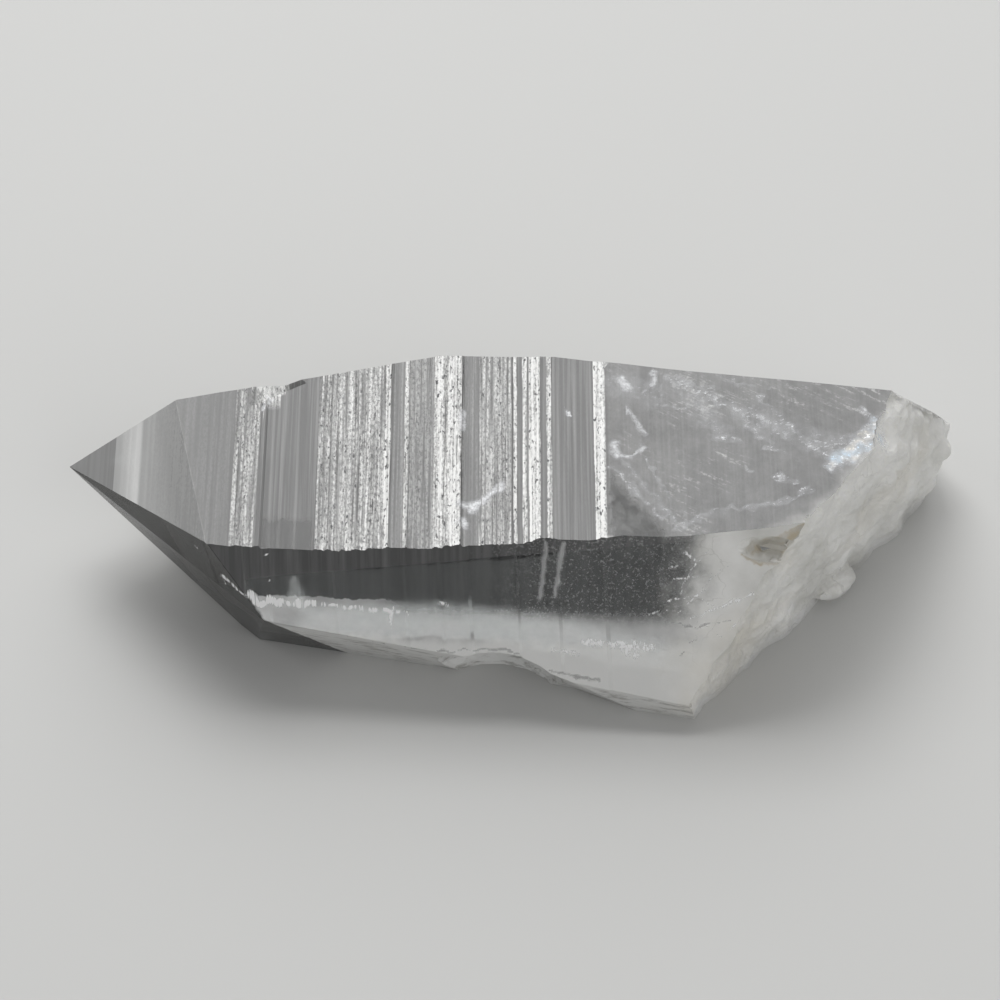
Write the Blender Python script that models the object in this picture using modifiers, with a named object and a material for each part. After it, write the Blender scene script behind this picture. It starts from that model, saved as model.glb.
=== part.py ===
# Quartz crystal of the lemurian seed kind, lying on one of its long faces.
# The tip points to -X, the broken milky root to +X, and the ground is z = 0.
import bpy
import bmesh
from mathutils import Matrix, Vector

MM = 0.001

# driving dimensions, in millimetres: corners of the six-sided prism and its tip
TIP = (-62.1, 18.3, 16.7)
UPPER_BACK_LEFT = (-46.5, 24.1, 24.7)
UPPER_BACK_MIDDLE = (-8.7, 30.5, 27.5)
UPPER_BACK_NEXT = (7.9, 29.2, 28.5)
UPPER_BACK_RIGHT = (55.6, 19.9, 31.4)
UPPER_FRONT_LEFT = (-40.8, -2.1, 24.2)
UPPER_FRONT_RIGHT = (42.0, -2.6, 29.7)
LOWER_FRONT_LEFT = (-33.2, -7.8, 14.1)
LOWER_FRONT_MIDDLE = (-8.6, -10.9, 10.9)
LOWER_FRONT_RIGHT = (27.1, -15.6, 4.1)
FOOT_FRONT_LEFT = (-37.4, 2.3, 0.0)
FOOT_FRONT_MIDDLE = (-17.7, -3.5, 0.0)
FOOT_FRONT_RIGHT = (27.0, -14.4, 0.0)
FOOT_STEP_LEFT = (4.9, -6.3, 0.0)
FOOT_STEP_RIGHT = (18.2, -12.5, 0.0)
RIDGE_STEP = (4.4, -12.0, 9.1)
REAR_CORNER = (-8.7, 37.2, 16.7)
SKIN = 0.8

# the broken end: the foot of its wall on the ground and its outermost corner
WALL_FOOT_FRONT = (27.0, -14.6, 0.0)
WALL_FOOT_BACK = (47.5, 7.6, 0.0)
WALL_SHOULDER = (52.0, 7.4, 30.7)
WALL_END_FOOT = (63.6, 25.0, 0.0)
WALL_END_TOP = (67.2, 28.6, 10.5)
BREAK_GRID = 1.7
BREAK_ROUGHNESS = 3.0
BREAK_GRAIN = 1.3

# growth steps across the broad upper face: place along the crystal, height
BROAD_STEPS = [
    (-72.0, 0.00), (-40.4, -0.05), (-37.8, -0.45), (-37.0, -0.30), (-36.4, -0.44), (-35.6, -0.34),
    (-34.8, -0.50), (-33.7, -0.46), (-33.4, -0.84), (-30.4, -1.02), (-26.2, -1.36),
    (-25.8, -1.16), (-24.6, -1.42), (-24.2, -1.24), (-22.6, -1.48), (-22.2, -1.28),
    (-20.9, -1.50), (-20.5, -1.28), (-18.8, -1.46), (-18.4, -1.22), (-16.4, -1.42),
    (-15.9, -1.10), (-15.4, -1.36), (-13.8, -1.44), (-13.3, -1.16), (-12.9, -1.42),
    (-9.6, -1.64), (-9.2, -1.38), (-8.2, -1.42), (-7.8, -1.18), (-6.3, -1.16), (-5.6, -1.04),
    (-5.3, -1.46), (-3.0, -1.55), (-2.7, -1.40), (1.6, -1.50), (1.9, -1.30), (2.4, -1.44),
    (3.1, -1.44), (3.6, -1.20), (4.1, -1.18), (5.6, -0.72), (6.1, -0.88), (6.6, -0.76),
    (7.2, -0.90), (12.7, -1.32), (13.4, -1.20), (14.9, -0.50), (16.7, -0.66), (21.4, -1.06),
    (25.3, -1.20), (31.7, -0.80), (36.4, -0.62), (42.1, -0.02), (70.0, 0.00),
]
FRONT_STEPS = [
    (-72.0, 0.0), (-36.2, 0.0), (-35.9, 0.14), (-32.9, 0.10), (-32.5, 0.0), (-23.8, 0.02),
    (-23.4, 0.12), (-14.0, 0.08), (-13.5, 0.18), (-9.0, 0.12), (-8.5, 0.22), (-5.0, 0.2),
    (-4.5, 0.04), (1.8, 0.02), (2.2, 0.14), (7.5, 0.10), (8.0, 0.24), (14.0, 0.16),
    (14.6, 0.34), (28.0, 0.2), (70.0, 0.0),
]
BACK_STEPS = [
    (-72.0, 0.0), (-30.0, 0.0), (-29.2, 0.35), (-17.0, 0.25), (-16.2, 0.6), (-1.0, 0.45),
    (0.0, 0.0), (9.0, -0.1), (9.8, 0.35), (21.0, 0.2), (22.0, 0.6), (34.0, 0.3), (70.0, 0.0),
]


def point(values):
    return Vector(values) * MM


def clear_objects():
    for thing in list(bpy.data.objects):
        bpy.data.objects.remove(thing, do_unlink=True)


def outward(corner, second, third, inside):
    # normal of the plane through three corners, turned away from the inside
    normal = (second - corner).cross(third - corner).normalized()
    if normal.dot(inside - corner) > 0.0:
        normal.negate()
    return normal


def slice_off(thing, corner, normal):
    # cut the flat face and close it again
    mesh = bmesh.new()
    mesh.from_mesh(thing.data)
    parts = list(mesh.verts) + list(mesh.edges) + list(mesh.faces)
    cut = bmesh.ops.bisect_plane(mesh, geom=parts, dist=1e-7, plane_co=corner,
                                 plane_no=normal, clear_outer=True)
    rim = [item for item in cut["geom_cut"] if isinstance(item, bmesh.types.BMEdge)]
    if rim:
        bmesh.ops.edgeloop_fill(mesh, edges=rim)
    bmesh.ops.recalc_face_normals(mesh, faces=mesh.faces)
    mesh.to_mesh(thing.data)
    mesh.free()


def block(name, low, high):
    # a box between two corners
    low = point(low)
    high = point(high)
    bpy.ops.mesh.primitive_cube_add(size=1.0, location=(low + high) / 2.0)
    thing = bpy.context.active_object
    thing.name = name
    thing.scale = high - low
    bpy.ops.object.transform_apply(location=True, rotation=False, scale=True)
    return thing


def move_to(thing, collection):
    for old in list(thing.users_collection):
        old.objects.unlink(thing)
    collection.objects.link(thing)


def combine(body, tool, operation, cutters):
    # run one Boolean and keep its tool as a wire guide
    step = body.modifiers.new("Cut by " + tool.name, "BOOLEAN")
    step.operation = operation
    step.solver = "EXACT"
    step.object = tool
    bpy.context.view_layer.objects.active = body
    bpy.ops.object.modifier_apply(modifier=step.name)
    move_to(tool, cutters)
    tool.hide_render = True
    tool.display_type = "WIRE"


def ladder(name, steps, corner, along, normal, deep):
    # a stepped outline, drawn in the plane of the axis and the face's normal, then extruded
    outline = bpy.data.curves.new(name, "CURVE")
    outline.dimensions = "2D"
    outline.fill_mode = "BOTH"
    outline.extrude = 60.0 * MM
    places = [(steps[0][0] - 10.0, -deep)]
    places += [(steps[0][0] - 10.0, steps[0][1])]
    places += steps
    places += [(steps[-1][0] + 10.0, steps[-1][1]), (steps[-1][0] + 10.0, -deep)]
    spline = outline.splines.new("POLY")
    spline.points.add(len(places) - 1)
    for number, (place, height) in enumerate(places):
        spline.points[number].co = (place * MM, height * MM, 0.0, 1.0)
    spline.use_cyclic_u = True
    sheet = bpy.data.objects.new(name + " outline", outline)
    bpy.context.scene.collection.objects.link(sheet)
    bpy.context.view_layer.update()
    shape = bpy.data.meshes.new_from_object(sheet.evaluated_get(bpy.context.evaluated_depsgraph_get()))
    bpy.data.objects.remove(sheet, do_unlink=True)
    welded = bmesh.new()
    welded.from_mesh(shape)
    bmesh.ops.remove_doubles(welded, verts=welded.verts, dist=1e-6)
    bmesh.ops.recalc_face_normals(welded, faces=welded.faces)
    welded.to_mesh(shape)
    welded.free()
    thing = bpy.data.objects.new(name, shape)
    bpy.context.scene.collection.objects.link(thing)
    # the outline's x runs along the crystal, its y out of the face
    across = along.cross(normal)
    turned = thing.matrix_world.copy()
    turned.col[0] = (*along, 0.0)
    turned.col[1] = (*normal, 0.0)
    turned.col[2] = (*across, 0.0)
    start = corner - along * (corner.x / along.x)
    turned.col[3] = (*start, 1.0)
    thing.matrix_world = turned
    bpy.context.view_layer.update()
    return thing


def roughen(thing, grid, coarse, fine):
    # an even grid, then large lumps and fine grain pushed along the surface
    remesh = thing.modifiers.new("Even grid", "REMESH")
    remesh.mode = "VOXEL"
    remesh.voxel_size = grid * MM
    for name, size, depth, kind in (("Lumps", 9.0, coarse, "CLOUDS"), ("Grain", 4.4, fine, "VORONOI")):
        pattern = bpy.data.textures.new(name, kind)
        pattern.noise_scale = size * MM
        push = thing.modifiers.new(name, "DISPLACE")
        push.texture = pattern
        push.texture_coords = "LOCAL"
        push.direction = "NORMAL"
        push.mid_level = 0.5
        push.strength = depth * MM
    for step in list(thing.modifiers):
        bpy.context.view_layer.objects.active = thing
        bpy.ops.object.modifier_apply(modifier=step.name)


def lump(name, place, size, turn=(0.0, 0.0, 0.0), rings=2):
    bpy.ops.mesh.primitive_ico_sphere_add(subdivisions=rings, radius=1.0, location=point(place),
                                          rotation=turn)
    thing = bpy.context.active_object
    thing.name = name
    thing.scale = point(size)
    bpy.ops.object.transform_apply(location=False, rotation=False, scale=True)
    return thing


clear_objects()
pieces = bpy.data.collections.new("Lemurian seed quartz crystal")
cutters = bpy.data.collections.new("Cutters")
bpy.context.scene.collection.children.link(pieces)
bpy.context.scene.collection.children.link(cutters)

tip = point(TIP)
back_left = point(UPPER_BACK_LEFT)
back_middle = point(UPPER_BACK_MIDDLE)
back_next = point(UPPER_BACK_NEXT)
back_right = point(UPPER_BACK_RIGHT)
front_left = point(UPPER_FRONT_LEFT)
front_right = point(UPPER_FRONT_RIGHT)
low_left = point(LOWER_FRONT_LEFT)
low_middle = point(LOWER_FRONT_MIDDLE)
low_right = point(LOWER_FRONT_RIGHT)
foot_left = point(FOOT_FRONT_LEFT)
foot_middle = point(FOOT_FRONT_MIDDLE)
foot_right = point(FOOT_FRONT_RIGHT)
rear = point(REAR_CORNER)
middle = point((-5.0, 13.0, 14.0))

# the six long faces
down_back = Vector((0.0, 0.54, -0.84))
broad = outward(front_left, front_right, back_middle, middle)
front = outward(front_left, front_right, low_left, middle)
under_front = outward(low_left, low_right, foot_right, middle)
top_back_left = outward(back_left, back_middle, back_middle + down_back, middle)
top_back_middle = outward(back_middle, back_next, back_middle + down_back, middle)
top_back_right = outward(back_next, back_right, back_next + down_back, middle)
rear_face = Vector((-0.105, 0.878, -0.466)).normalized()
skin = SKIN * MM

crystal = block("crystal", (-80.0, -40.0, -6.0), (80.0, 60.0, 45.0))
for corner, normal in (
        (front_left + broad * skin, broad),
        (front_left + front * skin, front),
        (low_left, under_front),
        (back_middle, top_back_left),
        (back_middle, top_back_middle),
        (back_next, top_back_right),
        (rear + rear_face * skin, rear_face)):
    slice_off(crystal, corner, normal)

# the point: three faces through the corners seen in front, three behind
rear_left = point((-44.0, 30.6, 15.5))
rear_foot = point((-36.0, 24.0, 0.0))
for one, other in (
        (back_left, front_left),
        (front_left, low_left),
        (low_left, foot_left),
        (foot_left, rear_foot),
        (rear_foot, rear_left),
        (rear_left, back_left)):
    slice_off(crystal, tip, outward(tip, one, other, middle))

# growth steps on the faces that carry them
along_broad = (front_right - front_left).normalized()
rear_along = Vector((1.0, 0.12, 0.0))
rear_along = (rear_along - rear_face * rear_along.dot(rear_face)).normalized()
for name, steps, corner, along, normal in (
        ("Broad face steps", BROAD_STEPS, front_left, along_broad, broad),
        ("Front face steps", FRONT_STEPS, front_left, along_broad, front),
        ("Rear face steps", BACK_STEPS, rear, rear_along, rear_face)):
    rail = ladder(name, steps, corner, along, normal, 60.0)
    combine(crystal, rail, "INTERSECT", cutters)

# the narrow under face stands back from the root's foot, with a shell-shaped hollow between
narrow = outward(low_left, low_middle, foot_middle, middle)
step = outward(point(FOOT_STEP_LEFT), point(FOOT_STEP_RIGHT), point(RIDGE_STEP), middle)
recess = block("Under face recess", (-60.0, -40.0, -12.0), (40.0, 20.0, 25.0))
slice_off(recess, low_left, -narrow)
slice_off(recess, point(FOOT_STEP_LEFT), -step)
combine(crystal, recess, "DIFFERENCE", cutters)
hollow = lump("Shell hollow", (-1.0, -13.8, 2.5), (11.0, 9.6, 8.8), rings=3)
combine(crystal, hollow, "DIFFERENCE", cutters)

# a chip on the upper back edge
chip = block("Edge chip", (-4.0, -4.0, -4.0), (4.0, 4.0, 4.0))
chip.rotation_euler = (0.5, 0.45, 0.75)
chip.location = point((-32.5, 27.9, 28.1))
bpy.context.view_layer.update()
combine(crystal, chip, "DIFFERENCE", cutters)

# the broken end
wall_front = point(WALL_FOOT_FRONT)
wall_back = point(WALL_FOOT_BACK)
end_foot = point(WALL_END_FOOT)
end_top = point(WALL_END_TOP)
wall = outward(wall_front, wall_back, front_right, middle)
shoulder = outward(point(WALL_SHOULDER), back_right, end_top, middle)
wall_rear = outward(wall_back, end_foot, point(WALL_SHOULDER), middle)
end = outward(end_foot, end_top, end_foot + point((-2.0, 20.0, 0.0)), middle)
envelope = block("Broken end", (-75.0, -45.0, -15.0), (80.0, 65.0, 45.0))
slice_off(envelope, wall_front, wall)
slice_off(envelope, back_right, shoulder)
slice_off(envelope, wall_back, wall_rear)
slice_off(envelope, end_foot, end)
roughen(envelope, BREAK_GRID, BREAK_ROUGHNESS, BREAK_GRAIN)
combine(crystal, envelope, "INTERSECT", cutters)

# the stained recess at the end of the front edge, and a knob low on the back of the root
stain = lump("Stained recess", (37.0, -5.6, 26.7), (5.4, 2.2, 2.6), turn=(0.5, 0.1, 0.0), rings=3)
combine(crystal, stain, "DIFFERENCE", cutters)
knob = lump("Root knob", (48.4, 8.9, 1.9), (4.6, 3.0, 2.4), turn=(0.0, 0.1, 0.7), rings=3)
combine(crystal, knob, "UNION", cutters)

# flat contact with the ground
slice_off(crystal, Vector((0.0, 0.0, 0.0)), Vector((0.0, 0.0, -1.0)))
crystal.data.shade_flat()

# the origin goes to the middle of the footprint, on the ground
low = [min(v.co[axis] for v in crystal.data.vertices) for axis in range(3)]
high = [max(v.co[axis] for v in crystal.data.vertices) for axis in range(3)]
centre = Vector(((low[0] + high[0]) / 2.0, (low[1] + high[1]) / 2.0, 0.0))
crystal.data.transform(Matrix.Translation(-centre))
for tool in cutters.objects:
    tool.matrix_world = Matrix.Translation(-centre) @ tool.matrix_world
print("middle of the footprint, mm:", [round(value * 1000.0, 3) for value in centre])

glass = bpy.data.materials.new("clear quartz")
glass.use_nodes = True
shader = glass.node_tree.nodes["Principled BSDF"]
shader.inputs["Base Color"].default_value = (0.93, 0.94, 0.93, 1.0)
shader.inputs["Roughness"].default_value = 0.12
shader.inputs["Metallic"].default_value = 0.0
shader.inputs["IOR"].default_value = 1.544
shader.inputs["Transmission Weight"].default_value = 0.85
crystal.data.materials.clear()
crystal.data.materials.append(glass)
move_to(crystal, pieces)
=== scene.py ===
import math
import random

import bmesh
import bpy
from mathutils import Matrix, Vector, noise
from mathutils.bvhtree import BVHTree


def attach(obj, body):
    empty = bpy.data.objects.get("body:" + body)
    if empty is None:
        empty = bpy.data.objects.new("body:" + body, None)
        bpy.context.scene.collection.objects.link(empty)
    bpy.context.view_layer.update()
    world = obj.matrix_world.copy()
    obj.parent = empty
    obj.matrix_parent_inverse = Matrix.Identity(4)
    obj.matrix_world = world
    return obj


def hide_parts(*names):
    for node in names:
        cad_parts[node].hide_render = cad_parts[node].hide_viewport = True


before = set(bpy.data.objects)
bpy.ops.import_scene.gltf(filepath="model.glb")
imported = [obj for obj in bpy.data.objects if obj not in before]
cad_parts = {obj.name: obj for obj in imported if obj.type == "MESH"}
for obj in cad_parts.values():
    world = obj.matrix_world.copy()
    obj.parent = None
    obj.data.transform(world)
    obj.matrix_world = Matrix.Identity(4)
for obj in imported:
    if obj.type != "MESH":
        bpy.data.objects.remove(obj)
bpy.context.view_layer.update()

MM = 0.001
CENTRE = Vector((2.521, 11.385, 0.0)) * MM
scene = bpy.context.scene


# Placing and selecting

def at(x, y, z):
    """A place on the crystal, in millimetres on its own plan, as metres in the frame."""
    return Vector((x, y, z)) * MM - CENTRE


def deselect_all():
    for thing in bpy.context.selected_objects:
        thing.select_set(False)


def take(thing):
    deselect_all()
    thing.select_set(True)
    bpy.context.view_layer.objects.active = thing


def apply_all(thing):
    take(thing)
    for step in list(thing.modifiers):
        bpy.ops.object.modifier_apply(modifier=step.name)


def outward(corner, second, third):
    """The normal of the plane through three corners, turned away from the crystal's middle."""
    normal = (second - corner).cross(third - corner).normalized()
    if normal.dot(at(-5.0, 13.0, 14.0) - corner) > 0.0:
        normal.negate()
    return normal


# Corners and faces of the crystal

TIP = at(-62.1, 18.3, 16.7)
BACK_LEFT = at(-46.5, 24.1, 24.7)
BACK_MIDDLE = at(-8.7, 30.5, 27.5)
FRONT_LEFT = at(-40.8, -2.1, 24.2)
FRONT_RIGHT = at(42.0, -2.6, 29.7)
LOW_LEFT = at(-33.2, -7.8, 14.1)
WALL_FRONT = at(27.0, -14.6, 0.0)
WALL_BACK = at(47.5, 7.6, 0.0)
BROAD = outward(FRONT_LEFT, FRONT_RIGHT, BACK_MIDDLE)
FRONT = outward(FRONT_LEFT, FRONT_RIGHT, LOW_LEFT)
POINT_FACE = outward(TIP, BACK_LEFT, FRONT_LEFT)
SCOOP = at(37.0, -5.0, 26.5)
CHIP = at(-32.3, 27.0, 25.6)
ROOT_END = at(56.4, 0.0, 0.0).x
WALL = outward(WALL_FRONT, WALL_BACK, FRONT_RIGHT)
ALONG = (FRONT_RIGHT - FRONT_LEFT).normalized()
ACROSS = BROAD.cross(ALONG).normalized()

# Growth steps across the broad face, in millimetres: place along the crystal, height
STEPS = [
    (-72.0, 0.00), (-40.4, -0.05), (-37.8, -0.45), (-37.0, -0.30), (-36.4, -0.44), (-35.6, -0.34),
    (-34.8, -0.50), (-33.7, -0.46), (-33.4, -0.84), (-30.4, -1.02), (-26.2, -1.36),
    (-25.8, -1.16), (-24.6, -1.42), (-24.2, -1.24), (-22.6, -1.48), (-22.2, -1.28),
    (-20.9, -1.50), (-20.5, -1.28), (-18.8, -1.46), (-18.4, -1.22), (-16.4, -1.42),
    (-15.9, -1.10), (-15.4, -1.36), (-13.8, -1.44), (-13.3, -1.16), (-12.9, -1.42),
    (-9.6, -1.64), (-9.2, -1.38), (-8.2, -1.42), (-7.8, -1.18), (-6.3, -1.16), (-5.6, -1.04),
    (-5.3, -1.46), (-3.0, -1.55), (-2.7, -1.40), (1.6, -1.50), (1.9, -1.30), (2.4, -1.44),
    (3.1, -1.44), (3.6, -1.20), (4.1, -1.18), (5.6, -0.72), (6.1, -0.88), (6.6, -0.76),
    (7.2, -0.90), (12.7, -1.32), (13.4, -1.20), (14.9, -0.50), (16.7, -0.66), (21.4, -1.06),
    (25.3, -1.20), (31.7, -0.80), (36.4, -0.62), (42.1, -0.02), (70.0, 0.00),
]

# Bands of fine growth lines: from, to, depth of the lines in millimetres, frost on them
BANDS = [
    (-55.6, -51.4, 0.012, 0.05), (-51.2, -38.0, 0.012, 0.07),
    (-37.8, -34.3, 0.05, 0.55), (-33.3, -26.1, 0.012, 0.01), (-25.9, -15.6, 0.07, 0.60),
    (-21.6, -21.1, 0.06, 0.75), (-18.9, -18.4, 0.06, 0.78), (-16.35, -15.6, 0.09, 1.0),
    (-15.3, -13.6, 0.008, 0.10), (-13.6, -13.0, 0.09, 0.80), (-12.9, -9.4, 0.04, 0.32),
    (-9.4, -5.5, 0.09, 0.72),
    (-8.8, -8.3, 0.06, 0.92), (-7.0, -5.5, 0.08, 0.95), (-5.4, -3.1, 0.01, 0.10), (-3.0, 1.6, 0.06, 0.52),
    (1.9, 2.4, 0.06, 0.85), (3.2, 3.8, 0.06, 0.80), (4.1, 5.7, 0.05, 0.97),
    (6.6, 7.3, 0.05, 0.78), (7.5, 12.6, 0.012, 0.03), (13.3, 14.9, 0.04, 0.98),
    (15.2, 40.0, 0.008, 0.04),
]


def step_height(place):
    for (left, low), (right, high) in zip(STEPS, STEPS[1:]):
        if left <= place <= right:
            return low + (high - low) * (place - left) / (right - left)
    return 0.0


# The relief of growth lines: columns along the crystal, rows and width across it in millimetres
COLUMNS = 620
FIRST_FINE, LAST_FINE = 40, 600
ROWS = 22
RELIEF_WIDTH = 60.0
RELIEF_START = 14.0
RELIEF_DEPTH = 0.06
CUTS = [random.Random(number * 31 + 7).random() for number in range(COLUMNS + 1)]


def column_place(number):
    """Columns of the relief stand a tenth of a millimetre apart over the growth lines."""
    if number < FIRST_FINE:
        return -70.0 + 0.7 * number
    if number <= LAST_FINE:
        return -42.0 + 0.1 * (number - FIRST_FINE)
    return 14.0 + 3.0 * (number - LAST_FINE)


def growth_line(along, across):
    """How strongly a growth line is cut at a place on the broad face, from 0 to 1."""
    coarse = noise.noise(Vector((along * 3.1, across * 0.06, 5.0)))
    fine = noise.noise(Vector((along * 7.3, across * 0.12, 15.0)))
    return min(1.0, max(0.0, 0.5 + 1.5 * coarse + 0.8 * fine))


CHIP_POINT = (-33.8, 22.0)
CHIP_FROST = 0.8
WHITE_BAND = 0.7


def frost_at(along, across):
    """How white the growth lines are at a place on the broad face, from 0 to 1."""
    frost = max([white for left, right, depth, white in BANDS if left <= along <= right] or [0.0])
    # the white of the chip is a notch shaped like a V
    past = along - CHIP_POINT[0]
    if across > CHIP_POINT[1] + max(1.2 * past, -5.0 * past) and -34.9 < along < -30.6:
        frost = CHIP_FROST
    sharp = 0.42 if frost > WHITE_BAND else 0.8
    return frost * (1.0 - sharp + sharp * growth_line(along, across))


def line_depth(place):
    return max([depth for left, right, depth, frost in BANDS if left <= place <= right] or [0.004])


# Camera

CAMERA_HEIGHT = math.radians(50.0)
CAMERA_DISTANCE = 0.4968
CAMERA_AIM = at(0.0, 0.0, 31.05)
LENS = 129.6
SENSOR = 36.0
toward = Vector((0.0, -math.cos(CAMERA_HEIGHT), math.sin(CAMERA_HEIGHT)))
camera_data = bpy.data.cameras.new("camera")
camera_data.lens = LENS
camera_data.sensor_width = SENSOR
camera_data.clip_start = 0.01
camera = bpy.data.objects.new("camera", camera_data)
scene.collection.objects.link(camera)
camera.location = CAMERA_AIM + toward * CAMERA_DISTANCE
camera.rotation_euler = (math.radians(90.0) - CAMERA_HEIGHT, 0.0, 0.0)
scene.camera = camera


# Node helpers

def add_node(tree, kind, **values):
    made = tree.nodes.new(kind)
    for name, value in values.items():
        if name in made.inputs:
            made.inputs[name].default_value = value
        else:
            setattr(made, name, value)
    return made


def join(tree, source, target):
    tree.links.new(source, target)


def new_material(name):
    made = bpy.data.materials.new(name)
    made.use_nodes = True
    return made, made.node_tree, made.node_tree.nodes["Principled BSDF"]


def place_on_piece(tree, scale):
    """Object coordinates, stretched by a Mapping node."""
    source = add_node(tree, "ShaderNodeTexCoord")
    mapping = add_node(tree, "ShaderNodeMapping")
    mapping.inputs["Scale"].default_value = scale
    join(tree, source.outputs["Object"], mapping.inputs["Vector"])
    return mapping.outputs["Vector"]


def scaled_noise(tree, scale, detail, rough=0.55):
    """Noise on the piece, with its scale in cells per metre along each axis."""
    made = add_node(tree, "ShaderNodeTexNoise", Scale=1.0, Detail=detail, Roughness=rough)
    join(tree, place_on_piece(tree, scale), made.inputs["Vector"])
    return made.outputs["Fac"]


def attribute(tree, name):
    """A value that the piece's own mesh carries."""
    return add_node(tree, "ShaderNodeAttribute", attribute_name=name).outputs["Fac"]


def axes(tree, place):
    """The X, Y and Z of a place."""
    parted = add_node(tree, "ShaderNodeSeparateXYZ")
    join(tree, place, parted.inputs["Vector"])
    return parted.outputs


def slanted_noise(tree, turn, scale, detail):
    """Noise drawn out along a line across the broad face, with its scale in cells per millimetre."""
    source = add_node(tree, "ShaderNodeTexCoord")
    mapping = add_node(tree, "ShaderNodeMapping", vector_type="TEXTURE")
    mapping.inputs["Rotation"].default_value = (0.0, 0.0, math.radians(turn))
    mapping.inputs["Scale"].default_value = [MM / share for share in scale]
    join(tree, source.outputs["Object"], mapping.inputs["Vector"])
    made = add_node(tree, "ShaderNodeTexNoise", Scale=1.0, Detail=detail, Roughness=0.65)
    join(tree, mapping.outputs["Vector"], made.inputs["Vector"])
    return made.outputs["Fac"]


def ramp(tree, source, stops):
    """A colour ramp with the given stops, each a place from 0 to 1 and a grey or a colour."""
    made = add_node(tree, "ShaderNodeValToRGB")
    points = made.color_ramp.elements
    while len(points) < len(stops):
        points.new(0.5)
    for point, (place, value) in zip(points, stops):
        point.position = place
        point.color = (*value, 1.0) if isinstance(value, tuple) else (value, value, value, 1.0)
    join(tree, source, made.inputs["Fac"])
    return made.outputs["Color"]


def maths(tree, kind, first, second=None, third=None):
    made = add_node(tree, "ShaderNodeMath")
    made.operation = kind
    for number, value in enumerate((first, second, third)):
        if value is None:
            continue
        if isinstance(value, (int, float)):
            made.inputs[number].default_value = value
        else:
            join(tree, value, made.inputs[number])
    return made.outputs["Value"]


def bump(tree, height, strength, distance):
    made = add_node(tree, "ShaderNodeBump")
    made.inputs["Strength"].default_value = strength
    made.inputs["Distance"].default_value = distance
    join(tree, height, made.inputs["Height"])
    return made.outputs["Normal"]


def plan_place(tree, part):
    """The place on the crystal's own plan, in millimetres, kept only along the axes in part."""
    source = add_node(tree, "ShaderNodeTexCoord")
    mapping = add_node(tree, "ShaderNodeMapping")
    mapping.inputs["Scale"].default_value = [share / MM for share in part]
    mapping.inputs["Location"].default_value = [share * middle / MM
                                                for share, middle in zip(part, CENTRE)]
    join(tree, source.outputs["Object"], mapping.inputs["Vector"])
    return mapping.outputs["Vector"]


def warped(tree, place, scale, amount):
    """The place pushed about by noise, so that an edge drawn on it comes out ragged."""
    made = add_node(tree, "ShaderNodeTexNoise", Scale=scale, Detail=4.0)
    join(tree, place, made.inputs["Vector"])
    centred = add_node(tree, "ShaderNodeVectorMath", operation="SUBTRACT")
    join(tree, made.outputs["Color"], centred.inputs[0])
    centred.inputs[1].default_value = (0.5, 0.5, 0.5)
    pushed = add_node(tree, "ShaderNodeVectorMath", operation="MULTIPLY_ADD")
    join(tree, centred.outputs["Vector"], pushed.inputs[0])
    pushed.inputs[1].default_value = (amount, amount, amount)
    join(tree, place, pushed.inputs[2])
    return pushed.outputs["Vector"]


# Shared effects

def new_group(name, wanted, given, given_kind="NodeSocketFloat"):
    group = bpy.data.node_groups.new(name, "ShaderNodeTree")
    for label, kind in wanted:
        group.interface.new_socket(name=label, in_out="INPUT", socket_type=kind)
    for label in given:
        group.interface.new_socket(name=label, in_out="OUTPUT", socket_type=given_kind)
    wanted_sockets = group.nodes.new("NodeGroupInput").outputs
    given_sockets = group.nodes.new("NodeGroupOutput").inputs
    return group, wanted_sockets, given_sockets


def side_group():
    """A mask that is 1 on the right of the line from Start to End, with a soft edge."""
    vector = "NodeSocketVector"
    sockets = [("Place", vector), ("Start", vector), ("End", vector), ("Soft", "NodeSocketFloat")]
    group, wanted, given = new_group("side of a line", sockets, ["Mask"])
    line = add_node(group, "ShaderNodeVectorMath", operation="SUBTRACT")
    join(group, wanted["End"], line.inputs[0])
    join(group, wanted["Start"], line.inputs[1])
    unit = add_node(group, "ShaderNodeVectorMath", operation="NORMALIZE")
    join(group, line.outputs["Vector"], unit.inputs[0])
    away = add_node(group, "ShaderNodeVectorMath", operation="SUBTRACT")
    join(group, wanted["Place"], away.inputs[0])
    join(group, wanted["Start"], away.inputs[1])
    turned = add_node(group, "ShaderNodeVectorMath", operation="CROSS_PRODUCT")
    join(group, away.outputs["Vector"], turned.inputs[0])
    join(group, unit.outputs["Vector"], turned.inputs[1])
    rise = add_node(group, "ShaderNodeMapRange", interpolation_type="SMOOTHSTEP")
    rise.inputs["From Min"].default_value = 0.0
    join(group, axes(group, turned.outputs["Vector"])["Z"], rise.inputs["Value"])
    join(group, wanted["Soft"], rise.inputs["From Max"])
    join(group, rise.outputs["Result"], given["Mask"])
    return group


SIDE = side_group()


def side(tree, place, start, end, soft):
    made = add_node(tree, "ShaderNodeGroup", node_tree=SIDE)
    join(tree, place, made.inputs["Place"])
    made.inputs["Start"].default_value = (*start, 0.0)
    made.inputs["End"].default_value = (*end, 0.0)
    made.inputs["Soft"].default_value = soft
    return made.outputs["Mask"]


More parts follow.
